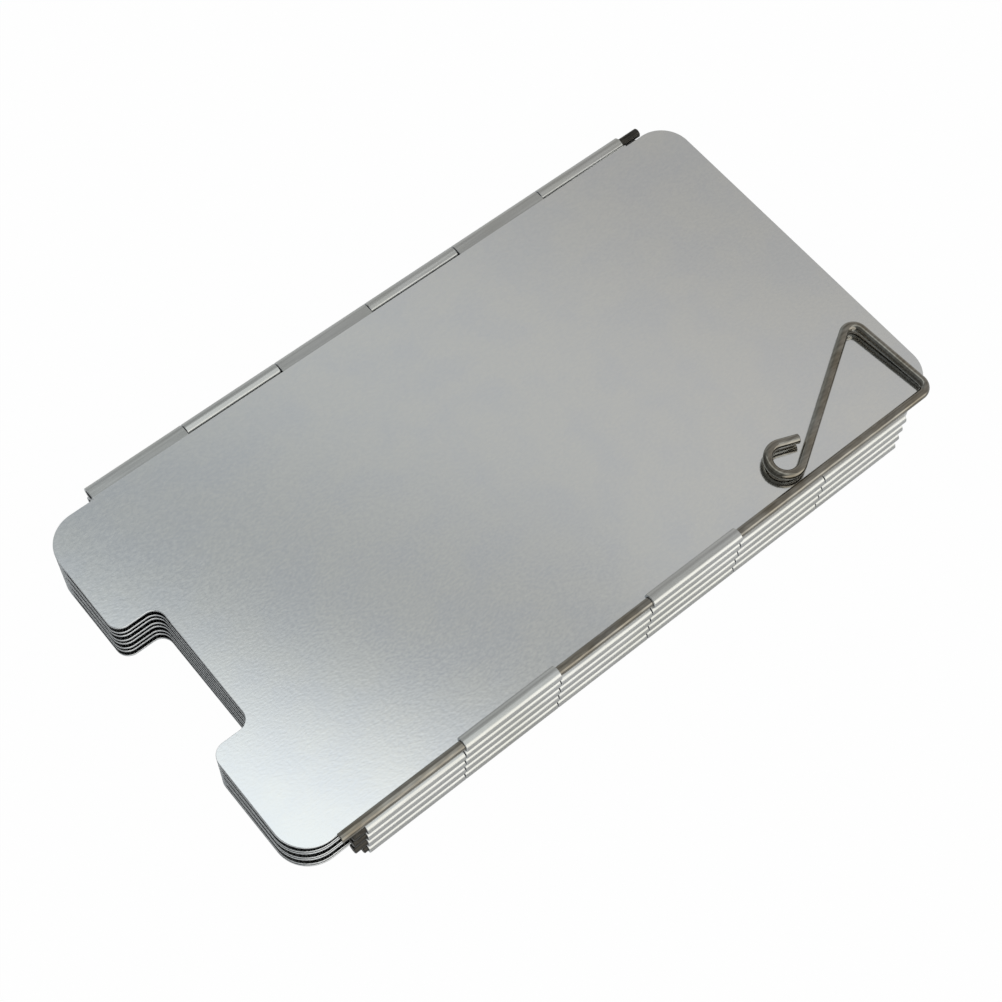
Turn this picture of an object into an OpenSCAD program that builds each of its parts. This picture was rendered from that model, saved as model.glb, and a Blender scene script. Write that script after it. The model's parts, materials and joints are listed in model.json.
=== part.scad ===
// Folding stove windscreen, folded flat.
// Eight sheet panels joined along their long edges by rolled knuckles on wire pins,
// with a bent wire stake in the free edge of the top panel.
// X runs along the panels, the notched end at -X; the stack lies flat with its lowest knuckle on Z = 0.

/* [Panel] */
// length of a panel from the notched end to the plain end
panel_len = 159.4; // [120:0.2:220]
// distance between a panel's two hinge axes, measured along the sheet
panel_w = 85; // [60:0.5:120]
// sheet thickness
sheet_t = 0.5; // [0.4:0.05:0.6]
// corner radius at the notched end
foot_corner_r = 7.2; // [4:0.1:10]
// corner radius at the plain end
top_corner_r = 6.8; // [4:0.1:10]
// how far the bare ends of the sheet's far edge stay inside the hinge axis
edge_in = 2.05; // [1.95:0.05:2.3]
// the same distance beside the knuckles, clear of the other panel's, and along the whole near edge
hinge_in = 1.65; // [1.6:0.05:1.85]
// the same distance on the top panel's free edge, which reaches under the stake
stake_in = 1.1; // [1:0.05:1.4]

/* [Notch] */
// width of the air notch between its flanks
notch_w = 29.5; // [20:0.5:40]
// depth of the air notch
notch_d = 9.2; // [7:0.1:12]
// rounding of the lobe beside the notch
notch_lobe_r = 2.8; // [2:0.1:3.4]
// rounding in the bottom corners of the notch
notch_floor_r = 2.5; // [2:0.1:3.4]

/* [Knuckles] */
// length of one knuckle section
knuckle_len = 22.6; // [18:0.1:24]
// distance from the notched end to the first knuckle section
knuckle_start = 13.2; // [11:0.1:14]
// how much nearer to the notched end the far edge's knuckles sit
far_shift = 0.7; // [0:0.1:1]
// free gap between two neighbouring knuckles
knuckle_gap = 0.2; // [0.15:0.05:0.5]
// radial play between a wire and its knuckle
bore_play = 0.05; // [0.03:0.01:0.1]
// width of the seam where the roll closes
seam_w = 0.3; // [0.2:0.05:0.4]
// width of the crease where the roll begins
crease_w = 0.35; // [0.2:0.05:0.5]
// depth of that crease
crease_d = 0.1; // [0.05:0.01:0.15]
// free height between two knuckles of the folded stack
stack_gap = 0.45; // [0.4:0.05:1.2]

/* [Wires] */
// diameter of the pins and the stake
wire_d = 2; // [1.8:0.05:2.3]
// length of a hinge pin
pin_len = 138; // [136.5:0.5:140]
// how far a near pin sticks out at the notched end
pin_out = 2.7; // [2:0.1:4]
// how far the far pins stick out at the plain end
far_pin_out = 5.1; // [4:0.1:6]
// how far the edge pin sticks out at the notched end
edge_pin_out = 0.8; // [0.4:0.1:1.5]

/* [Stake] */
// how far the tip reaches past the first knuckle section
tip_out = 5; // [2:0.5:8]
// distance from the last knuckle section to the bend of the handle
handle_out = 7; // [6:0.1:8]
// height of the handle's triangle
handle_h = 21.7; // [16:0.1:26]
// how far the apex leans back towards the tip
handle_lean = 1.8; // [0:0.1:3]
// radius of the handle's two bends, on the wire's centre line
bend_r = 2.2; // [2:0.1:4]
// distance from the bend to the centre of the closing curl
curl_back = 34.2; // [30:0.1:38]
// free distance between the curl and the knuckles that it slides past
curl_gap = 0.05; // [0.05:0.05:1]
// radius of the curl, on the wire's centre line
curl_r = 3.45; // [3:0.05:4.2]
// angle the curl turns through
curl_turn = 232; // [215:1:245]
// length of the wire's straight end after the curl
curl_tail = 4.3; // [3:0.1:4.6]
// angle the handle stands off the panel
handle_tilt = 2.5; // [2:0.1:6]
// angle the run back to the curl rises further, about the handle's first leg
back_lift = 1; // [0.5:0.1:2]
// how much the wire swells where it is bent
bend_swell = 0.015; // [0.01:0.005:0.03]
// how far a straight run reaches into the bend beside it
bend_lap = 0.1; // [0.05:0.01:0.12]

/* [Hidden] */
$fn = 72;

sheet_tone = [0.70, 0.71, 0.72];
wire_tone = [0.45, 0.45, 0.43];

sections = 6;
eps = 0.01;
wire_r = wire_d / 2;
bore_r = wire_r + bore_play;
eye_r = bore_r + sheet_t;
// height of a hinge axis over the middle of the sheet
axis_h = eye_r - sheet_t / 2 - eps;
// height from one knuckle of the folded stack to the next
pitch = 2 * eye_r + stack_gap;
span = sqrt(panel_w * panel_w + 4 * axis_h * axis_h);
// the small angle at which the folded sheets lie, so that the knuckles sit one pitch apart
wedge = atan(2 * axis_h / panel_w) - asin(pitch / 2 / span);
// half the distance between the two columns of knuckles
axis_y = sqrt(span * span - pitch * pitch / 4) / 2;
x_foot = -panel_len / 2;
x_knuckle = x_foot + knuckle_start;
x_knuckle_end = x_knuckle + sections * knuckle_len;
// the lowest knuckle rests on the ground
z_low = eye_r;
function near_z(k) = z_low + k * pitch;
function far_z(k) = z_low + (k + 0.5) * pitch;

// flat outline of a panel: y = 0 at the near hinge axis, y = panel_w at the far one
module rounded_end(r, side, y0) {
    y1 = panel_w - edge_in;
    x = side * panel_len / 2;
    for (y = [y0 + r, y1 - r]) translate([x - side * r, y]) circle(r);
    translate([min(x, x - side * r), y0 + r]) square([r, y1 - y0 - 2 * r]);
    translate([min(0, x - side * r), y0]) square([panel_len / 2 - r, y1 - y0]);
}

module notch() {
    // the recess with two rounded floor corners
    half = notch_w / 2;
    floor_x = x_foot + notch_d;
    translate([x_foot - 1, -half]) square([notch_d + 1 - notch_floor_r, notch_w]);
    translate([x_foot - 1, -half + notch_floor_r]) square([notch_d + 1, notch_w - 2 * notch_floor_r]);
    for (s = [-1, 1]) translate([floor_x - notch_floor_r, s * (half - notch_floor_r)]) circle(notch_floor_r);
    // the mouth, flared by the rounded lobes
    for (s = [-1, 1]) difference() {
        translate([x_foot - 1, s > 0 ? half - eps : -half - notch_lobe_r])
            square([1 + notch_lobe_r, notch_lobe_r + eps]);
        translate([x_foot + notch_lobe_r, s * (half + notch_lobe_r)]) circle(notch_lobe_r);
    }
}

// one knuckle section on the near edge: the sheet runs to the axis line
module tab(i) {
    translate([x_knuckle + i * knuckle_len + knuckle_gap / 2, 0])
        square([knuckle_len - knuckle_gap, edge_in + 1]);
}
// the stretch of the far edge along the knuckles, which reaches nearer to the axis
module hinge_stretch() {
    translate([x_knuckle, hinge_in]) square([sections * knuckle_len, edge_in + 1 - hinge_in]);
}
module at_far_edge() { translate([-far_shift, panel_w]) mirror([0, 1]) children(); }

module outline(near_own, far_own, near_in) {
    difference() {
        union() {
            rounded_end(foot_corner_r, -1, near_in);
            rounded_end(top_corner_r, 1, near_in);
        }
        translate([0, panel_w / 2]) notch();
    }
    for (i = near_own) tab(i);
    at_far_edge() {
        hinge_stretch();
        for (i = far_own) tab(i);
    }
}

// a rod along X between two ends
module rod(r, x0, x1) { translate([x0, 0, 0]) rotate([0, 90, 0]) cylinder(r = r, h = x1 - x0); }

module eye_body(i) {
    x = x_knuckle + i * knuckle_len + knuckle_gap / 2;
    rod(eye_r, x, x + knuckle_len - knuckle_gap);
}
module eye_bore(i) {
    x = x_knuckle + i * knuckle_len;
    rod(bore_r, x, x + knuckle_len);
    // the seam of the roll, on the panel's side of the knuckle
    translate([x, 0, 0]) rotate([-23, 0, 0]) translate([0, wire_r / 2, -seam_w / 2])
        cube([knuckle_len, eye_r, seam_w]);
}
module eye_crease(i) {
    x = x_knuckle + i * knuckle_len + knuckle_gap / 2;
    translate([x, edge_in - crease_w, -axis_h - sheet_t / 2 - 1])
        cube([knuckle_len - knuckle_gap, crease_w, 1 + crease_d]);
}

// the near edge's frame: axis over the sheet; the far edge's frame: axis under it
module near_edge() { translate([0, 0, axis_h]) children(); }
module far_edge() { translate([-far_shift, panel_w, -axis_h]) rotate([180, 0, 0]) children(); }

module panel(near_own, far_own, near_in = hinge_in) {
    color(sheet_tone)
    difference() {
        union() {
            translate([0, 0, -sheet_t / 2]) linear_extrude(sheet_t) outline(near_own, far_own, near_in);
            near_edge() for (i = near_own) eye_body(i);
            far_edge() for (i = far_own) eye_body(i);
        }
        near_edge() for (i = near_own) { eye_bore(i); eye_crease(i); }
        far_edge() for (i = far_own) { eye_bore(i); eye_crease(i); }
    }
}

odd_set = [0, 2, 4];
even_set = [1, 3, 5];
free_set = [1, 3];
all_set = [0, 1, 2, 3, 4, 5];

// an upper panel of a pair hangs its near knuckles over the sheet, a lower one under it
module place_upper(k) {
    translate([0, -axis_y, near_z(k)]) rotate([wedge, 0, 0]) translate([0, 0, -axis_h]) children();
}
module place_lower(k) {
    translate([0, -axis_y, near_z(k)]) rotate([-wedge, 0, 0]) translate([0, 0, axis_h])
        mirror([0, 0, 1]) children();
}

module panel_1() { place_upper(4) panel(free_set, odd_set, stake_in); }
module panel_2() { place_lower(3) panel(odd_set, even_set); }
module panel_3() { place_upper(3) panel(even_set, odd_set); }
module panel_4() { place_lower(2) panel(odd_set, even_set); }
module panel_5() { place_upper(2) panel(even_set, odd_set); }
module panel_6() { place_lower(1) panel(odd_set, even_set); }
module panel_7() { place_upper(1) panel(even_set, odd_set); }
module panel_8() { place_lower(0) panel(all_set, even_set); }

module near_pin(k) {
    x = x_knuckle - pin_out;
    color(wire_tone) translate([0, -axis_y, near_z(k)]) rod(wire_r, x, x + pin_len);
}
module far_pin(k) {
    x = x_knuckle_end - far_shift + far_pin_out;
    color(wire_tone) translate([0, axis_y, far_z(k)]) rod(wire_r, x - pin_len, x);
}

module hinge_pin_1() { far_pin(3); }
module hinge_pin_2() { near_pin(3); }
module hinge_pin_3() { far_pin(2); }
module hinge_pin_4() { near_pin(2); }
module hinge_pin_5() { far_pin(1); }
module hinge_pin_6() { near_pin(1); }
module hinge_pin_7() { far_pin(0); }
module edge_pin() {
    color(wire_tone) translate([0, -axis_y, near_z(0)])
        rod(wire_r, x_knuckle - edge_pin_out, x_knuckle_end - knuckle_gap);
}

// the stake's wire, laid out flat: x along the shaft, y across the panel
bend_p = [x_knuckle_end + handle_out, 0];
apex_p = [x_knuckle_end + handle_out - handle_lean, handle_h];
curl_p = [x_knuckle_end + handle_out - curl_back, curl_r + wire_r + eye_r + curl_gap];
rise_a = atan2(apex_p[1] - bend_p[1], apex_p[0] - bend_p[0]);
rise_len = norm(apex_p - bend_p);
curl_dist = norm(curl_p - apex_p);
back_a = atan2(curl_p[1] - apex_p[1], curl_p[0] - apex_p[0]) + 360 + asin(curl_r / curl_dist);
back_len = sqrt(curl_dist * curl_dist - curl_r * curl_r);
bend_cut = bend_r * tan(rise_a / 2);
apex_cut = bend_r * tan((back_a - rise_a) / 2);

module wire_line(p, a, len) { translate([p[0], p[1], 0]) rotate([0, 0, a]) rod(wire_r, 0, len); }
module wire_arc(c, r, a0, turn) {
    translate([c[0], c[1], 0]) rotate([0, 0, a0]) rotate_extrude(angle = turn)
        translate([r, 0]) circle(wire_r + bend_swell, $fn = 40);
}
// turns what follows the first leg about that leg's line
module about_leg() {
    translate([bend_p[0], bend_p[1], 0]) rotate([0, 0, rise_a]) rotate([back_lift, 0, 0])
        rotate([0, 0, -rise_a]) translate([-bend_p[0], -bend_p[1], 0]) children();
}
function along(p, a, len) = [p[0] + len * cos(a), p[1] + len * sin(a)];

module stake() {
    tip_x = x_knuckle - tip_out;
    rise_p = along(bend_p, rise_a, bend_cut);
    apex_c = along(along(apex_p, rise_a, -apex_cut), rise_a + 90, bend_r);
    back_p = along(apex_p, back_a, apex_cut);
    end_a = back_a + 90 - curl_turn;
    tail_a = end_a - 90;
    color(wire_tone)
    translate([0, -axis_y, near_z(4)]) rotate([handle_tilt, 0, 0]) {
        wire_line([tip_x, 0], 0, bend_p[0] - bend_cut - tip_x + bend_lap);
        wire_arc([bend_p[0] - bend_cut, bend_r], bend_r, -90, rise_a);
        wire_line(along(rise_p, rise_a, -bend_lap), rise_a, rise_len - bend_cut - apex_cut + 2 * bend_lap);
        about_leg() {
            wire_arc(apex_c, bend_r, rise_a - 90, back_a - rise_a);
            wire_line(along(back_p, back_a, -bend_lap), back_a, back_len - apex_cut + 2 * bend_lap);
            wire_arc(curl_p, curl_r, end_a, curl_turn);
            wire_line(along(along(curl_p, end_a, curl_r), tail_a, -bend_lap), tail_a, curl_tail + bend_lap);
        }
    }
}

panel_1();
panel_2();
panel_3();
panel_4();
panel_5();
panel_6();
panel_7();
panel_8();
hinge_pin_1();
hinge_pin_2();
hinge_pin_3();
hinge_pin_4();
hinge_pin_5();
hinge_pin_6();
hinge_pin_7();
edge_pin();
stake();
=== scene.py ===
# %% [markdown]
# # A folding stove windscreen, folded flat
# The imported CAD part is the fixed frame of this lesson: eight sheet panels, seven hinge pins, an edge pin and
# a bent wire stake, each already in its place. The solids are exact, but their triangles are loose and flat,
# so rolled edges would show stripes in a metal finish. Each piece is drawn again here as a smooth surface with
# the small rounded edges that catch light, in the place the frame gives, and then gets its metal.

# %% Load the frame
import json
import bpy
import numpy as np
from mathutils import Matrix, Vector


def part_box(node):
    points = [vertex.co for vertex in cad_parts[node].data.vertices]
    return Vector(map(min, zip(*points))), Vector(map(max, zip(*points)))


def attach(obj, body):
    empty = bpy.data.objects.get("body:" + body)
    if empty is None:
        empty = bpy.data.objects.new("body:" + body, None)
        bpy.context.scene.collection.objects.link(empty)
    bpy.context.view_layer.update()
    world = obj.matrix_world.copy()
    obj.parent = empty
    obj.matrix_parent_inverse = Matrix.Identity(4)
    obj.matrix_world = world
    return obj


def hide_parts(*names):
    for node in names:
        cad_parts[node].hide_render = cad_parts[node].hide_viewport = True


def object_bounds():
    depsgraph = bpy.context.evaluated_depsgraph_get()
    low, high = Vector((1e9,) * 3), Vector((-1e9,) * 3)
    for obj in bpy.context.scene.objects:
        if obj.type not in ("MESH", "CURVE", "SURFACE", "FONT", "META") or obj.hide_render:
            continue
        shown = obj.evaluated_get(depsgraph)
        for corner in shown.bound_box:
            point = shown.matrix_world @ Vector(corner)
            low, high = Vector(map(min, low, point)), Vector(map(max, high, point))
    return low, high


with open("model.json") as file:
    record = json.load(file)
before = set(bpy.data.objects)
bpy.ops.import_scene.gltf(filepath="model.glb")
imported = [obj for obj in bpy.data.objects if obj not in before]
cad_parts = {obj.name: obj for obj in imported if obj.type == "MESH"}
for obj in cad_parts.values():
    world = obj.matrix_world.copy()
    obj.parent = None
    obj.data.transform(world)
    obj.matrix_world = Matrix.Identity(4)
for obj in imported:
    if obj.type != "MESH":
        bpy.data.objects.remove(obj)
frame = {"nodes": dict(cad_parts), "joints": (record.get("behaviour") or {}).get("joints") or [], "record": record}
cad_box = [[float(v) for v in corner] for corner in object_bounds()]
MM = 0.001
print("CAD box in mm:", [[round(v / MM, 1) for v in corner] for corner in cad_box])

# %% [markdown]
# ## Sizes
# The frame says where every axis is: each fold joint carries a point of its hinge line, and a pin's box gives
# the wire. Only what the frame can't say is written down, such as the sheet's thickness and the length of a
# knuckle, as real sizes in millimetres. A size that only one piece needs stands in that piece's cell.

# %% Sizes that the pieces share
joints = {j["name"]: j for j in frame["joints"]}
panel_low, panel_high = (np.array(c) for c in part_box("panel_1"))
pin_low, pin_high = (np.array(c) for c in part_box("hinge_pin_2"))

PANELS = 8
SECTIONS = 6
WIRE_R = (pin_high[2] - pin_low[2]) / 2
FOOT_X = panel_low[0]
TOP_X = panel_high[0]
SHEET_T = 0.5 * MM
BORE_PLAY = 0.05 * MM
EYE_R = WIRE_R + BORE_PLAY + SHEET_T
ROLL_R = EYE_R - SHEET_T / 2
ROLL_LAP = 0.01 * MM
AXIS_LIFT = ROLL_R - ROLL_LAP
FIRST_KNUCKLE = 13.2 * MM
KNUCKLE_X = FOOT_X + FIRST_KNUCKLE
KNUCKLE_LEN = 22.6 * MM
KNUCKLE_GAP = 0.2 * MM
FAR_SHIFT = 0.7 * MM
HINGE_IN = 1.65 * MM
BURR = 0.07 * MM

NEAR_Y = joints["fold_6_7"]["pos_m"][1]
FAR_Y = joints["fold_7_8"]["pos_m"][1]
PITCH = joints["fold_4_5"]["pos_m"][2] - joints["fold_6_7"]["pos_m"][2]
LOW_Z = joints["fold_6_7"]["pos_m"][2] - PITCH
PANEL_W = np.sqrt((FAR_Y - NEAR_Y) ** 2 + PITCH ** 2 / 4 - 4 * AXIS_LIFT ** 2)
WEDGE = np.arctan2(2 * AXIS_LIFT, PANEL_W) - np.arcsin(PITCH / 2 / np.hypot(PANEL_W, 2 * AXIS_LIFT))
print("hinge spacing %.2f mm, stack pitch %.2f mm" % (PANEL_W / MM, PITCH / MM))
print("lean of a folded panel %.3f deg" % np.degrees(WEDGE))

# %% [markdown]
# ## From arrays to a mesh
# A surface is a grid of points: one direction runs round a profile, the other along a path. Every piece here
# is one or more such grids with their ends capped. One function turns a grid into quads, and one gathers the
# grids of a piece into an object and lets it ride on its body.

# %% Grid and object helpers
def tube_faces(rows, cols, base=0):
    """Quads of a grid whose columns close on themselves, with one flat cap at each end of the rows."""
    r, c = np.meshgrid(np.arange(rows - 1), np.arange(cols), indexing="ij")
    a = base + r * cols + c
    b = base + r * cols + (c + 1) % cols
    quads = np.stack([a, b, b + cols, a + cols], axis=-1).reshape(-1, 4)
    first = base + np.arange(cols)[::-1]
    last = base + (rows - 1) * cols + np.arange(cols)
    return quads.tolist() + [first.tolist(), last.tolist()]


def make_piece(name, grids, body, node, material_slots, smooth_deg=32):
    """Joins closed grids into one object. Each is (points[rows, cols, 3], slots of its bands and two caps)."""
    points, faces, slots = [], [], []
    base = 0
    for grid, band_slots in grids:
        rows, cols = grid.shape[:2]
        points.append(grid.reshape(-1, 3))
        faces += tube_faces(rows, cols, base)
        slots.append(np.repeat(band_slots[:-2], cols))
        slots.append(band_slots[-2:])
        base += rows * cols
    mesh = bpy.data.meshes.new(name)
    mesh.from_pydata(np.concatenate(points).tolist(), [], faces)
    for material in material_slots:
        mesh.materials.append(material)
    mesh.polygons.foreach_set("material_index", np.concatenate(slots).astype(np.int32))
    mesh.polygons.foreach_set("use_smooth", np.ones(len(mesh.polygons), dtype=bool))
    mesh.update()
    mesh.set_sharp_from_angle(angle=np.radians(smooth_deg))
    piece = bpy.data.objects.new(name, mesh)
    bpy.context.collection.objects.link(piece)
    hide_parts(node)
    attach(piece, body)
    return piece


def arc(centre, radius, start_deg, end_deg, steps):
    """Points on a circle from one angle to another: centre plus radius times (cos, sin)."""
    angle = np.radians(np.linspace(start_deg, end_deg, steps + 1))
    return np.asarray(centre) + radius * np.stack([np.cos(angle), np.sin(angle)], axis=-1)


# %% [markdown]
# ## Metals
# The panels are mill-finished aluminium sheet: a soft mirror with a faint grain from rolling. Where the sheet
# is rolled into a tube or sheared, its skin is rougher, and the rolls carry painted shade: a tint darker than the
# flat's. The wires are steel, much darker than the sheet, and the pins' near-black is partly painted shade. Metal
# has no colour of its own: its base colour tints what it mirrors, and roughness blurs the mirror. So one function
# serves all five, with noise that varies the tint and the blur a little.

# %% Colour and node helpers
COLOUR_MIX = {"data_type": "RGBA"}
NUMBER_MIX = {"data_type": "FLOAT"}
SMOOTH = {"interpolation_type": "SMOOTHSTEP"}


def linear(hex_colour):
    """An sRGB hex colour as linear red, green, blue and alpha 1: the standard two-piece curve."""
    srgb = np.array([int(hex_colour[i:i + 2], 16) for i in (1, 3, 5)]) / 255
    rgb = np.where(srgb <= 0.04045, srgb / 12.92, ((srgb + 0.055) / 1.055) ** 2.4)
    return (*rgb.tolist(), 1.0)


def add_node(tree, kind, settings=None, values=None, links=None):
    """Adds a node: settings are its attributes, values its input numbers, links its inputs from outputs."""
    node = tree.nodes.new(kind)
    for key, value in (settings or {}).items():
        setattr(node, key, value)
    for key, value in (values or {}).items():
        node.inputs[key].default_value = value
    for key, output in (links or {}).items():
        tree.links.new(output, node.inputs[key])
    return node


# %% A metal with grain
GRAIN_SPREAD = (0.3, 0.7)
CLOUD_SPREAD = (0.4, 0.65)


def grain_metal(name, colours, blurs, cell_mm, cloud_mm=None, cloud_colour=None, bump_mm=0.0):
    """A metal whose tint and blur follow a noise with cells of cell_mm along X, Y and Z. A second, wide noise
    may tint it in clouds, and a bump height gives the cells a little relief."""
    material = bpy.data.materials.new(name)
    material.use_nodes = True
    tree = material.node_tree
    shader = tree.nodes["Principled BSDF"]
    shader.inputs["Metallic"].default_value = 1.0
    coords = add_node(tree, "ShaderNodeTexCoord")
    cells = add_node(tree, "ShaderNodeMapping", links={"Vector": coords.outputs["Object"]},
                     values={"Scale": [1 / (c * MM) for c in cell_mm]})
    grain = add_node(tree, "ShaderNodeTexNoise", values={"Scale": 1.0, "Detail": 2.0},
                     links={"Vector": cells.outputs["Vector"]})
    spread = add_node(tree, "ShaderNodeMapRange", links={"Value": grain.outputs["Fac"]},
                      values={"From Min": GRAIN_SPREAD[0], "From Max": GRAIN_SPREAD[1]})
    tint = add_node(tree, "ShaderNodeMix", COLOUR_MIX, links={"Factor": spread.outputs["Result"]},
                    values={"A": linear(colours[0]), "B": linear(colours[1])})
    blur = add_node(tree, "ShaderNodeMapRange", links={"Value": spread.outputs["Result"]},
                    values={"To Min": blurs[0], "To Max": blurs[1]})
    tree.links.new(blur.outputs["Result"], shader.inputs["Roughness"])
    if cloud_mm:
        wide = add_node(tree, "ShaderNodeTexNoise", values={"Scale": 1 / (cloud_mm * MM), "Detail": 3.0},
                        links={"Vector": coords.outputs["Object"]})
        share = add_node(tree, "ShaderNodeMapRange", links={"Value": wide.outputs["Fac"]},
                         values={"From Min": CLOUD_SPREAD[0], "From Max": CLOUD_SPREAD[1]})
        tint = add_node(tree, "ShaderNodeMix", {"data_type": "RGBA", "blend_type": "MULTIPLY"},
                        values={"B": linear(cloud_colour)},
                        links={"Factor": share.outputs["Result"], "A": tint.outputs["Result"]})
    tree.links.new(tint.outputs["Result"], shader.inputs["Base Color"])
    if bump_mm:
        relief = add_node(tree, "ShaderNodeBump", values={"Strength": 1.0, "Distance": bump_mm * MM},
                          links={"Height": grain.outputs["Fac"]})
        tree.links.new(relief.outputs["Normal"], shader.inputs["Normal"])
    return material


# %% The five metals
# Cold-rolled sheet as it leaves the mill: a soft mirror, speckled where the light on it changes. The real
# speckle is finer, and is drawn this coarse so that it shows.
aluminium = grain_metal("mill_finished_aluminium", ("#EEEFEF", "#F3F3F1"), (0.09, 0.13), (0.8, 0.45, 1.0),
                        cloud_mm=9, cloud_colour="#FBFCFF", bump_mm=0.005)
# The same sheet curled in a die, which scuffs it: softer light lines, streaked along the roll. Its tint, darker
# than the flat sheet's, is painted shade that keeps the near screen's light lines on the rolls below white.
rolled_edge = grain_metal("rolled_aluminium_edge", ("#C4C4C3", "#D2D2D0"), (0.18, 0.27), (12.0, 0.4, 0.4),
                          cloud_mm=14, cloud_colour="#F6F6F3")
# The cut of a press, with short drag marks: it scatters light, so an edge is a pale line with no mirror image.
sheared_edge = grain_metal("sheared_aluminium_edge", ("#D0D2D4", "#ECEDEE"), (0.32, 0.5), (0.25, 0.25, 0.9))
# Stainless wire drawn through a die: a dark, sharp mirror with a warm cast.
stake_steel = grain_metal("drawn_stainless_wire", ("#817D76", "#9E9A92"), (0.05, 0.1), (3.0, 0.5, 0.5),
                          cloud_mm=6, cloud_colour="#E6E0D6")
# Plain wire cut to length with a dull skin, darker than the sheet as steel is. Its near-black tint beside the
# rolls is partly painted shade, for the pin ends that sit in the stack's shadow.
pin_steel = grain_metal("cut_pin_wire", ("#34322F", "#524F4A"), (0.3, 0.45), (2.0, 0.4, 0.4))
print("metals:", [m.name for m in (aluminium, rolled_edge, sheared_edge, stake_steel, pin_steel)])

# %% [markdown]
# ## The flat of a panel
# The sheet is one outline walked once round: the notched foot, the near edge, the plain end and the far edge.
# The long edges lie inside the hinge axes. The far one steps out a little beside the knuckles, and the top
# panel's free edge reaches further out, under the stake. The outline is carried through the thickness in four
# levels, drawn in a little at the top and the bottom one, so that the cut edge has the small burr radius that
# shows as a light line in the photograph.

# %% Outline of the flat
EDGE_IN = 2.05 * MM
STAKE_IN = 1.1 * MM
FOOT_CORNER_R = 7.2 * MM
TOP_CORNER_R = 6.8 * MM
NOTCH_W = 29.5 * MM
NOTCH_D = 9.2 * MM
NOTCH_LOBE_R = 2.8 * MM
NOTCH_FLOOR_R = 2.5 * MM
CORNER_STEPS = 14
NOTCH_STEPS = 8


def panel_outline(near_in):
    """Closed outline, anticlockwise: x along the panel, y from the near hinge axis to the far one."""
    y0, y1, mid = near_in, PANEL_W - EDGE_IN, PANEL_W / 2
    half = NOTCH_W / 2
    lobe_x = FOOT_X + NOTCH_LOBE_R
    floor_x = FOOT_X + NOTCH_D - NOTCH_FLOOR_R
    first_x = KNUCKLE_X - FAR_SHIFT
    last_x = first_x + SECTIONS * KNUCKLE_LEN
    reach = PANEL_W - HINGE_IN
    return np.concatenate([
        arc((FOOT_X + FOOT_CORNER_R, y0 + FOOT_CORNER_R), FOOT_CORNER_R, 180, 270, CORNER_STEPS),
        arc((TOP_X - TOP_CORNER_R, y0 + TOP_CORNER_R), TOP_CORNER_R, 270, 360, CORNER_STEPS),
        arc((TOP_X - TOP_CORNER_R, y1 - TOP_CORNER_R), TOP_CORNER_R, 0, 90, CORNER_STEPS),
        [(last_x, y1), (last_x, reach), (first_x, reach), (first_x, y1)],
        arc((FOOT_X + FOOT_CORNER_R, y1 - FOOT_CORNER_R), FOOT_CORNER_R, 90, 180, CORNER_STEPS),
        arc((lobe_x, mid + half + NOTCH_LOBE_R), NOTCH_LOBE_R, 180, 270, NOTCH_STEPS),
        arc((floor_x, mid + half - NOTCH_FLOOR_R), NOTCH_FLOOR_R, 90, 0, NOTCH_STEPS),
        arc((floor_x, mid - half + NOTCH_FLOOR_R), NOTCH_FLOOR_R, 0, -90, NOTCH_STEPS),
        arc((lobe_x, mid - half - NOTCH_LOBE_R), NOTCH_LOBE_R, 90, 180, NOTCH_STEPS),
    ])


print("outline of a panel:", len(panel_outline(HINGE_IN)), "points")

# %% Thickness of the flat
def drawn_in(outline, amount):
    """Moves each point of an anticlockwise outline inwards by amount, along the mitre of its two edges."""
    ahead = np.roll(outline, -1, axis=0) - outline
    behind = outline - np.roll(outline, 1, axis=0)
    directions = [e / np.linalg.norm(e, axis=1, keepdims=True) for e in (behind, ahead)]
    normals = [np.stack([-d[:, 1], d[:, 0]], axis=-1) for d in directions]
    mitre = normals[0] + normals[1]
    return outline + amount * 2 * mitre / np.sum(mitre * mitre, axis=1, keepdims=True)


def flat_grid(near_in):
    """The outline at four levels of the sheet's thickness, the outer two drawn in by the burr."""
    outline = panel_outline(near_in)
    inner = drawn_in(outline, BURR)
    half = SHEET_T / 2
    levels = ((inner, -half), (outline, BURR - half), (outline, half - BURR), (inner, half))
    return np.stack([np.column_stack([p, np.full(len(p), z)]) for p, z in levels])


print("grid of a flat:", flat_grid(HINGE_IN).shape)

# %% [markdown]
# ## A rolled knuckle
# A knuckle is a strip of the same sheet that leaves the flat, runs on to the hinge axis and curls round the
# wire until its lip nearly meets the flat again. Its section is a centre line, straight then round, thickened
# to both sides. That section is carried along X, a little thinner at its two ends for the burr.

# %% Section of the roll
LIP_DEG = 292
RUN_STEPS = 3
ROLL_STEPS = 40


def roll_section(thickness):
    """Closed section: the centre line shifted out by half the thickness, and back along its inner side."""
    run = np.linspace(-HINGE_IN - BURR, 0, RUN_STEPS + 1)[:-1]
    turn = np.radians(np.linspace(-90, LIP_DEG - 90, ROLL_STEPS))

    def side(shift):
        flat = np.column_stack([run, np.full(RUN_STEPS, -(ROLL_R + shift))])
        curl = (ROLL_R + shift) * np.column_stack([np.cos(turn), np.sin(turn)])
        return np.concatenate([flat, curl])

    return np.concatenate([side(thickness / 2), side(-thickness / 2)[::-1]])


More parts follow.
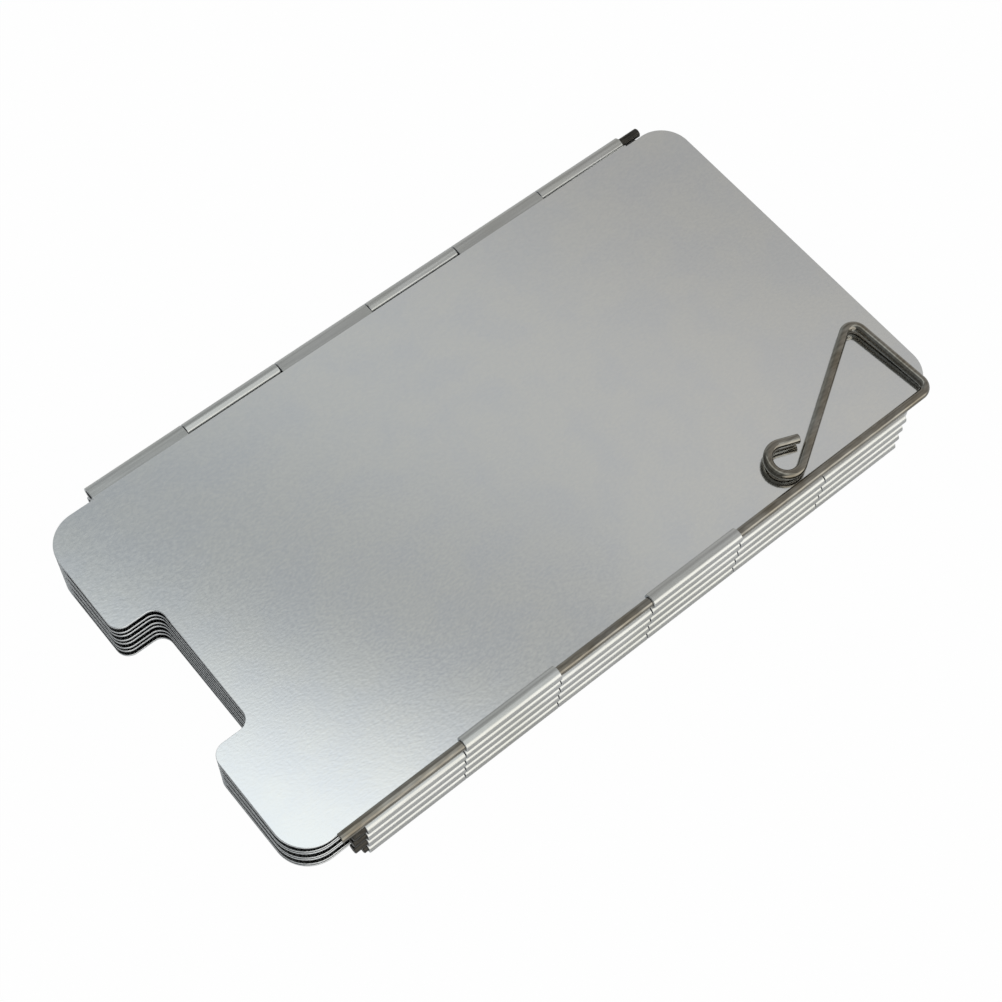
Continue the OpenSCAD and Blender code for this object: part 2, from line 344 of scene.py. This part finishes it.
def knuckle_grid(section_index, far):
    """The section carried along one knuckle: u points out of the panel, v to the side the roll stands on."""
    x0 = KNUCKLE_X + section_index * KNUCKLE_LEN + KNUCKLE_GAP / 2 - (FAR_SHIFT if far else 0)
    x1 = x0 + KNUCKLE_LEN - KNUCKLE_GAP
    thin = SHEET_T - 2 * BURR
    stations = ((x0, thin), (x0 + BURR, SHEET_T), (x1 - BURR, SHEET_T), (x1, thin))
    rings = []
    for x, thickness in stations:
        u, v = roll_section(thickness).T
        y = PANEL_W + u if far else -u
        z = -v - AXIS_LIFT if far else v + AXIS_LIFT
        rings.append(np.column_stack([np.full(len(u), x), y, z]))
    return np.stack(rings)


print("grid of a knuckle:", knuckle_grid(0, False).shape)

# %% [markdown]
# ## Eight panels
# Upper panels of a pair carry their near rolls above the sheet and lower ones below it, so a lower panel is
# the same shape turned over in height. In the folded stack a panel leans by the small wedge angle that lets
# the rolls sit one above the other. Neighbours roll alternate sections of the edge they share. The top panel's
# free edge rolls only two sections, which hold the stake and leave its handle room to slide. The bottom
# panel's free edge rolls all six round a plain rod.

# %% Build and place the panels
FIRST_THIRD_FIFTH = (0, 2, 4)
SECOND_FOURTH_SIXTH = (1, 3, 5)
STAKE_EDGE = (1, 3)
ALL_SECTIONS = tuple(range(SECTIONS))
FACE, EDGE, ROLL = range(3)
SHEET_BANDS = np.array([EDGE, EDGE, EDGE, FACE, FACE])
ROLL_BANDS = np.array([EDGE, ROLL, EDGE, EDGE, EDGE])


def placed(grid, upper, axis_z):
    """Turns a flat panel's grid to its lean and moves its near axis to its place in the stack."""
    x, y, z = np.moveaxis(grid, -1, 0)
    lean = WEDGE if upper else -WEDGE
    z = z - AXIS_LIFT if upper else AXIS_LIFT - z
    c, s = np.cos(lean), np.sin(lean)
    out = np.stack([x, NEAR_Y + y * c - z * s, axis_z + y * s + z * c], axis=-1)
    return out if upper else out[:, ::-1]


def build_panel(number):
    """One panel: its flat and its rolls, all riding on the panel's own body."""
    upper = number % 2 == 1
    axis_z = LOW_Z + PITCH * ((PANELS + upper - number) // 2)
    shared = SECOND_FOURTH_SIXTH if upper else FIRST_THIRD_FIFTH
    near_rolls = {1: STAKE_EDGE, PANELS: ALL_SECTIONS}.get(number, shared)
    far_rolls = FIRST_THIRD_FIFTH if upper else SECOND_FOURTH_SIXTH
    flat = flat_grid(STAKE_IN if number == 1 else HINGE_IN)
    grids = [(placed(flat, upper, axis_z), SHEET_BANDS)]
    for far, rolls in ((False, near_rolls), (True, far_rolls)):
        for i in rolls:
            grids.append((placed(knuckle_grid(i, far), upper, axis_z), ROLL_BANDS))
    name = "panel_%d" % number
    return make_piece(name + "_sheet", grids, name, name, [aluminium, sheared_edge, rolled_edge])


panels = [build_panel(n) for n in range(1, PANELS + 1)]
print("panels:", len(panels), "with", sum(len(p.data.polygons) for p in panels), "faces")

# %% [markdown]
# ## Wires
# Pins and stake are round wire. A wire is a circle carried along a path. In a flat path the circle's frame is
# easy, because the path's plane gives one direction and the path's own normal the other. The cut ends get a
# small chamfer.

# %% Wire along a flat path
RING = 28
CHAMFER = 0.12 * MM


def wire_grid(path, origin, along, across, cut_start=True, cut_end=True):
    """A circle carried along a flat path of (a, b) points: place = origin + a * along + b * across."""
    path = np.asarray(path)
    along, across = np.asarray(along, float), np.asarray(across, float)
    normal = np.cross(along, across)
    step = np.gradient(path, axis=0)
    step = step / np.linalg.norm(step, axis=1, keepdims=True)
    radius = np.full(len(path), WIRE_R)
    radius[0] -= CHAMFER * cut_start
    radius[-1] -= CHAMFER * cut_end
    angle = np.linspace(0, 2 * np.pi, RING, endpoint=False)
    centre = np.asarray(origin) + path[:, :1] * along + path[:, 1:] * across
    side = -step[:, 1:] * along + step[:, :1] * across
    ring = np.cos(angle)[None, :, None] * side[:, None, :] + np.sin(angle)[None, :, None] * normal
    return centre[:, None, :] + radius[:, None, None] * ring


def straight(start, end):
    """A straight wire's stations: both ends and a chamfer's length inside each."""
    start, end = np.asarray(start, float), np.asarray(end, float)
    direction = (end - start) / np.linalg.norm(end - start)
    return np.stack([start, start + CHAMFER * direction, end - CHAMFER * direction, end])


def wire_bands(grid):
    """The one material slot for each band of a wire and for its two caps."""
    return np.zeros(len(grid) + 1, dtype=int)


# %% Hinge pins and edge pin
bodies = frame["record"]["behaviour"]["bodies"]
node_body = {node: body for body, nodes in bodies.items() for node in nodes}
pin_nodes = sorted(n for n in frame["nodes"] if n.endswith("_pin") or n.startswith("hinge_pin"))
pins = []
for node in pin_nodes:
    low, high = (np.array(c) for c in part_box(node))
    axis = (low + high) / 2
    grid = wire_grid(straight((low[0], 0), (high[0], 0)), (0, axis[1], axis[2]), (1, 0, 0), (0, 1, 0))
    pins.append(make_piece(node + "_wire", [(grid, wire_bands(grid))], node_body[node], node, [pin_steel]))
print("pins:", [p.name for p in pins])

# %% [markdown]
# ## The stake
# One wire makes the whole stake. Its path leaves the tip along the free knuckles, turns into the handle's
# first leg, turns back at the apex and runs down to a curl with a short straight end. Round stretches are
# arcs, and the run back to the curl is the tangent from the apex to the curl's circle. The handle stands off
# the panel by a small angle, and from the apex on the wire rises a little more, turned about the first leg, as
# a wire bent by hand does. So the path is flat in two planes that share the leg's line, and each part gets its
# circle from its own plane.

# %% Corners of the stake's path
HANDLE_OUT = 7.0 * MM
HANDLE_H = 21.7 * MM
HANDLE_LEAN = 1.8 * MM
BEND_R = 2.2 * MM
CURL_BACK = 34.2 * MM
CURL_R = 3.45 * MM
CURL_GAP = 0.05 * MM
CURL_SIDE = CURL_R + WIRE_R + EYE_R + CURL_GAP
CURL_TURN = 232
CURL_TAIL = 4.3 * MM
HANDLE_TILT = np.radians(2.5)
BACK_LIFT = np.radians(1.0)


def heading(vector):
    """The angle of a flat vector from the shaft's line, in degrees."""
    return np.degrees(np.arctan2(vector[1], vector[0]))


def unit(deg):
    """The flat vector of length one with that heading."""
    return np.array([np.cos(np.radians(deg)), np.sin(np.radians(deg))])


stake_low = np.array(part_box("stake")[0])
STAKE_Z = LOW_Z + PANELS // 2 * PITCH
KNUCKLE_END = KNUCKLE_X + SECTIONS * KNUCKLE_LEN
TIP = np.array([stake_low[0], 0])
BEND = np.array([KNUCKLE_END + HANDLE_OUT, 0])
APEX = BEND + (-HANDLE_LEAN, HANDLE_H)
CURL = BEND + (-CURL_BACK, CURL_SIDE)
RISE = heading(APEX - BEND)
BACK = heading(CURL - APEX) % 360 + np.degrees(np.arcsin(CURL_R / np.linalg.norm(CURL - APEX)))
print("leg rises at %.1f deg, run back at %.1f deg" % (RISE, BACK))

# %% The stake's wire
BEND_STEPS = 16
APEX_STEPS = 20
CURL_STEPS = 60


def stake_parts():
    """Two lines of points: tip, shaft, bend and leg; then apex bend, run back, curl and its straight end."""
    bend_cut = BEND_R * np.tan(np.radians(RISE / 2))
    apex_cut = BEND_R * np.tan(np.radians((BACK - RISE) / 2))
    leg_end = APEX - apex_cut * unit(RISE)
    end = BACK + 90 - CURL_TURN
    curl_points = arc(CURL, CURL_R, BACK + 90, end, CURL_STEPS)
    tail = curl_points[-1] + CURL_TAIL * unit(end - 90)
    first = np.concatenate([
        straight(TIP, BEND)[:2],
        arc((BEND[0] - bend_cut, BEND_R), BEND_R, -90, RISE - 90, BEND_STEPS),
        [leg_end - 2 * CHAMFER * unit(RISE)],
    ])
    second = np.concatenate([
        [leg_end - CHAMFER * unit(RISE)],
        arc(leg_end + BEND_R * unit(RISE + 90), BEND_R, RISE - 90, BACK - 90, APEX_STEPS),
        curl_points,
        straight(curl_points[-1], tail)[2:],
    ])
    return first, second


def stake_grid():
    """Both parts as one tube; the second is measured along the leg and square to it, then turned up."""
    up = np.array([0, -np.sin(HANDLE_TILT), np.cos(HANDLE_TILT)])
    across = np.array([0, np.cos(HANDLE_TILT), np.sin(HANDLE_TILT)])
    shaft = np.array([1.0, 0, 0])
    origin = np.array([0, NEAR_Y, STAKE_Z])
    first, second = stake_parts()
    leg = unit(RISE)
    square = np.array([-leg[1], leg[0]])
    flat = second - BEND
    leg_3d = leg[0] * shaft + leg[1] * across
    square_3d = np.cos(BACK_LIFT) * (square[0] * shaft + square[1] * across) + np.sin(BACK_LIFT) * up
    corner = origin + BEND[0] * shaft
    lifted = np.column_stack([flat @ leg, flat @ square])
    parts = [wire_grid(first, origin, shaft, across, cut_end=False),
             wire_grid(lifted, corner, leg_3d, square_3d, cut_start=False)]
    return np.concatenate(parts)


stake_rings = stake_grid()
stake_grids = [(stake_rings, wire_bands(stake_rings))]
stake = make_piece("stake_wire", stake_grids, node_body["stake"], "stake", [stake_steel])
print("stake:", len(stake.data.polygons), "faces")

# %% [markdown]
# ## Studio
# The photograph has a pure white ground and soft light. Metal shows what stands round it, so the world is
# drawn as a studio. Overhead hangs a white card whose slanting edge fades over the notched corner of the top
# panel, and past it a grey dome. Low on the near side a bright screen draws the light lines along the rolls
# and the stake. The left side is dark for mirrors, which draws the dark bands under the stake's handle. All of
# it is a brightness worked out from a ray's direction, X, Y and Z, so no lamp is needed.

# %% Brightness of the studio
SLANT_Y = 0.75
CARD_LEVEL = 1.06
CARD_END_X = (0.22, 0.36)
CARD_END_SLANT = (0.2, 0.6)
DOME_STEPS = ((0.35, 0.466, -0.65), (0.48, 0.6, 0.1), (0.64, 0.76, -0.1))
ROOM_LEVEL = 0.56
OVERHEAD_Z = (0.3, 0.6)
DARK_SIDE = 0.25
DARK_SIDE_X = (-0.35, 0.0)


def overhead_level(tree, xyz):
    """The card's level plus smooth steps over the slant X + SLANT_Y * Y, which the card's end holds up."""
    slant = add_node(tree, "ShaderNodeMath", {"operation": "MULTIPLY_ADD"}, values={1: SLANT_Y},
                     links={0: xyz.outputs["Y"], 2: xyz.outputs["X"]})
    card_end = add_node(tree, "ShaderNodeMapRange", links={"Value": xyz.outputs["X"]},
                        values={"From Min": CARD_END_X[0], "From Max": CARD_END_X[1],
                                "To Min": CARD_END_SLANT[0], "To Max": CARD_END_SLANT[1]})
    across = add_node(tree, "ShaderNodeMath", {"operation": "MAXIMUM"},
                      links={0: slant.outputs[0], 1: card_end.outputs["Result"]})
    level = add_node(tree, "ShaderNodeMath", {"operation": "ADD"}, values={0: CARD_LEVEL, 1: 0.0})
    for start, end, change in DOME_STEPS:
        step = add_node(tree, "ShaderNodeMapRange", SMOOTH, links={"Value": across.outputs[0]},
                        values={"From Min": start, "From Max": end, "To Min": 0.0, "To Max": change})
        level = add_node(tree, "ShaderNodeMath", {"operation": "ADD"},
                         links={0: level.outputs[0], 1: step.outputs["Result"]})
    return level.outputs[0]


def room_level(tree, xyz, rays):
    """The overhead level above, the room's level lower down, and less of both on the left for mirrors."""
    overhead = add_node(tree, "ShaderNodeMapRange", SMOOTH, links={"Value": xyz.outputs["Z"]},
                        values={"From Min": OVERHEAD_Z[0], "From Max": OVERHEAD_Z[1]})
    room = add_node(tree, "ShaderNodeMix", NUMBER_MIX, values={"A": ROOM_LEVEL},
                    links={"Factor": overhead.outputs["Result"], "B": overhead_level(tree, xyz)})
    left = add_node(tree, "ShaderNodeMapRange", SMOOTH, links={"Value": xyz.outputs["X"]},
                    values={"From Min": DARK_SIDE_X[0], "From Max": DARK_SIDE_X[1], "To Min": DARK_SIDE})
    mirrored = add_node(tree, "ShaderNodeMix", NUMBER_MIX, values={"A": 1.0},
                        links={"Factor": rays.outputs["Is Glossy Ray"], "B": left.outputs["Result"]})
    shaded = add_node(tree, "ShaderNodeMath", {"operation": "MULTIPLY"},
                      links={0: room.outputs["Result"], 1: mirrored.outputs["Result"]})
    return shaded.outputs[0]


# %% World
SCREEN_Y = (-0.82, -0.6)
SCREEN_X = (0.18, 0.46)
SCREEN_LEVELS = (1.55, 1.65)
TINT_X = (0.1, 0.45)
LEFT_TINT = "#F6FDFF"
RIGHT_TINT = "#FFFEFB"
SCREEN_TINT = "#FFFEF8"
WHITE = "#FFFFFF"


def studio_world():
    """Plain white for the camera. For all other rays the room, with the near screen in front of it."""
    world = bpy.data.worlds.new("studio")
    bpy.context.scene.world = world
    world.use_nodes = True
    tree = world.node_tree
    coords = add_node(tree, "ShaderNodeTexCoord")
    xyz = add_node(tree, "ShaderNodeSeparateXYZ", links={"Vector": coords.outputs["Generated"]})
    rays = add_node(tree, "ShaderNodeLightPath")
    near = add_node(tree, "ShaderNodeMapRange", SMOOTH, links={"Value": xyz.outputs["Y"]},
                    values={"From Min": SCREEN_Y[0], "From Max": SCREEN_Y[1], "To Min": 1.0, "To Max": 0.0})
    screen = add_node(tree, "ShaderNodeMapRange", links={"Value": xyz.outputs["X"]},
                      values={"From Min": SCREEN_X[0], "From Max": SCREEN_X[1],
                              "To Min": SCREEN_LEVELS[0], "To Max": SCREEN_LEVELS[1]})
    level = add_node(tree, "ShaderNodeMix", NUMBER_MIX,
                     links={"Factor": near.outputs["Result"], "A": room_level(tree, xyz, rays),
                            "B": screen.outputs["Result"]})
    shown = add_node(tree, "ShaderNodeMix", NUMBER_MIX, values={"B": 1.0},
                     links={"Factor": rays.outputs["Is Camera Ray"], "A": level.outputs["Result"]})
    side = add_node(tree, "ShaderNodeMapRange", links={"Value": xyz.outputs["X"]},
                    values={"From Min": TINT_X[0], "From Max": TINT_X[1]})
    tint = add_node(tree, "ShaderNodeMix", COLOUR_MIX, links={"Factor": side.outputs["Result"]},
                    values={"A": linear(LEFT_TINT), "B": linear(RIGHT_TINT)})
    warm = add_node(tree, "ShaderNodeMix", COLOUR_MIX, values={"B": linear(SCREEN_TINT)},
                    links={"Factor": near.outputs["Result"], "A": tint.outputs["Result"]})
    paper_white = add_node(tree, "ShaderNodeMix", COLOUR_MIX, values={"B": linear(WHITE)},
                           links={"Factor": rays.outputs["Is Camera Ray"], "A": warm.outputs["Result"]})
    background = tree.nodes["Background"]
    tree.links.new(paper_white.outputs["Result"], background.inputs["Color"])
    tree.links.new(shown.outputs["Result"], background.inputs["Strength"])
    return world


world = studio_world()
print("world:", world.name, "of", len(world.node_tree.nodes), "nodes")

# %% [markdown]
# ## Floor
# The object lies on white paper that shows almost no shadow. The paper is a pale grey that takes the soft
# shadow, and for the camera nearly all of it is covered by a plain white glow. Mirrors see a part of that
# glow, so that the lower sides of the rolls and the cut edges don't go dark.

# %% Floor
FLOOR_HALF = 3.0
PAPER = "#C4C4C4"
PAPER_ROUGHNESS = 0.9
CAMERA_GLOW = 0.985
MIRROR_GLOW = 0.25


def pale_floor():
    """A wide sheet just under the object. Its glow's share is set by the kind of ray that meets it."""
    z = cad_box[0][2]
    mesh = bpy.data.meshes.new("floor")
    corners = [(x, y, z) for x, y in FLOOR_HALF * np.array([(-1, -1), (1, -1), (1, 1), (-1, 1)])]
    mesh.from_pydata(corners, [], [(0, 1, 2, 3)])
    floor = bpy.data.objects.new("floor", mesh)
    bpy.context.collection.objects.link(floor)
    material = bpy.data.materials.new("pale_paper")
    material.use_nodes = True
    tree = material.node_tree
    paper = tree.nodes["Principled BSDF"]
    paper.inputs["Base Color"].default_value = linear(PAPER)
    paper.inputs["Roughness"].default_value = PAPER_ROUGHNESS
    rays = add_node(tree, "ShaderNodeLightPath")
    glow = add_node(tree, "ShaderNodeEmission", values={"Color": linear(WHITE), "Strength": 1.0})
    mirrored = add_node(tree, "ShaderNodeMath", {"operation": "MULTIPLY"}, values={1: MIRROR_GLOW},
                        links={0: rays.outputs["Is Glossy Ray"]})
    share = add_node(tree, "ShaderNodeMath", {"operation": "MULTIPLY_ADD"}, values={1: CAMERA_GLOW},
                     links={0: rays.outputs["Is Camera Ray"], 2: mirrored.outputs[0]})
    mixed = add_node(tree, "ShaderNodeMixShader",
                     links={0: share.outputs[0], 1: paper.outputs["BSDF"], 2: glow.outputs["Emission"]})
    tree.links.new(mixed.outputs["Shader"], tree.nodes["Material Output"].inputs["Surface"])
    mesh.materials.append(material)
    return floor


floor = pale_floor()
bpy.context.scene.view_settings.view_transform = "Standard"
print("floor:", [round(v, 2) for v in floor.dimensions], "m")

# %% [markdown]
# ## Camera
# The photograph was taken from above the notched near corner with a moderate long lens. The place and aim come
# from fitting the knuckle marks and the panel's outline, in millimetres of the frame.

# %% Camera
SENSOR_MM = 36
LENS_MM = 70.38
CLIP_START = 10 * MM
CAMERA_PLACE = Vector((-125.2, -137.2, 348.3)) * MM
CAMERA_RIGHT = Vector((0.7703, -0.6371, 0.0280))
CAMERA_FORWARD = Vector((0.3152, 0.3422, -0.8852))

camera_data = bpy.data.cameras.new("camera")
camera_data.sensor_width = SENSOR_MM
camera_data.lens = LENS_MM
camera_data.clip_start = CLIP_START
camera = bpy.data.objects.new("camera", camera_data)
bpy.context.collection.objects.link(camera)
back_axis = -CAMERA_FORWARD.normalized()
right_axis = (CAMERA_RIGHT - CAMERA_RIGHT.dot(back_axis) * back_axis).normalized()
up_axis = back_axis.cross(right_axis)
turn = Matrix((right_axis, up_axis, back_axis)).transposed().to_4x4()
camera.matrix_world = Matrix.Translation(CAMERA_PLACE) @ turn
bpy.context.scene.camera = camera
print("camera %.0f mm from the frame's origin" % (CAMERA_PLACE.length / MM))
